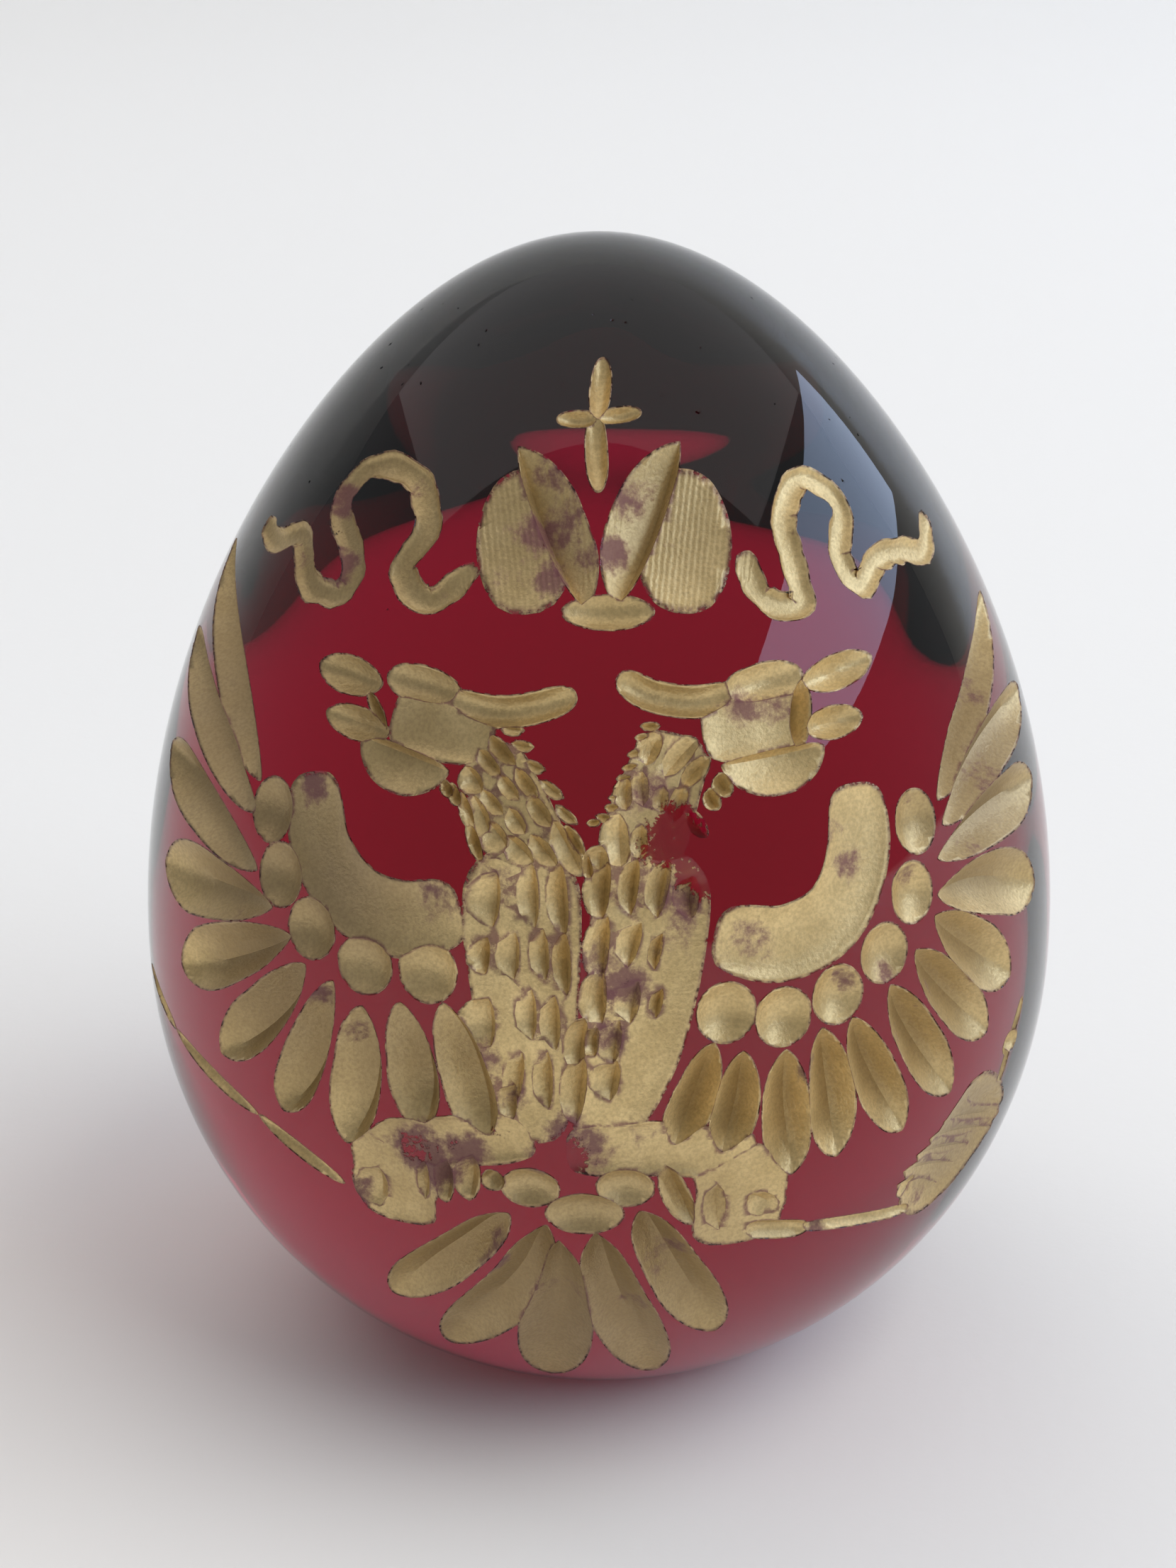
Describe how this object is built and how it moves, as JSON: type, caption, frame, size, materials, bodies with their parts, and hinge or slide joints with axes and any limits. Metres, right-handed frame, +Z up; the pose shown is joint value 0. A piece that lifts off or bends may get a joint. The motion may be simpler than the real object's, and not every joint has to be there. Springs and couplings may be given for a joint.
{
  "type": "engraved glass egg",
  "caption": "Solid ruby glass egg ornament on a flat ground foot, wheel-engraved and gilded with a traditional crowned double-headed eagle.",
  "frame": {"origin": "middle of the flat ground foot, at its underside", "axes": "+Z up along the egg's axis; the engraved eagle faces -Y; +X to the viewer's right"},
  "size_m": [0.054, 0.0539, 0.0655],
  "materials": {
    "ruby_glass": "polished ruby glass, with the engraved cuts gilded in dull worn gold"
  },
  "bodies": {
    "root": {"glass_egg": "ruby_glass"}
  },
  "joints": []
}
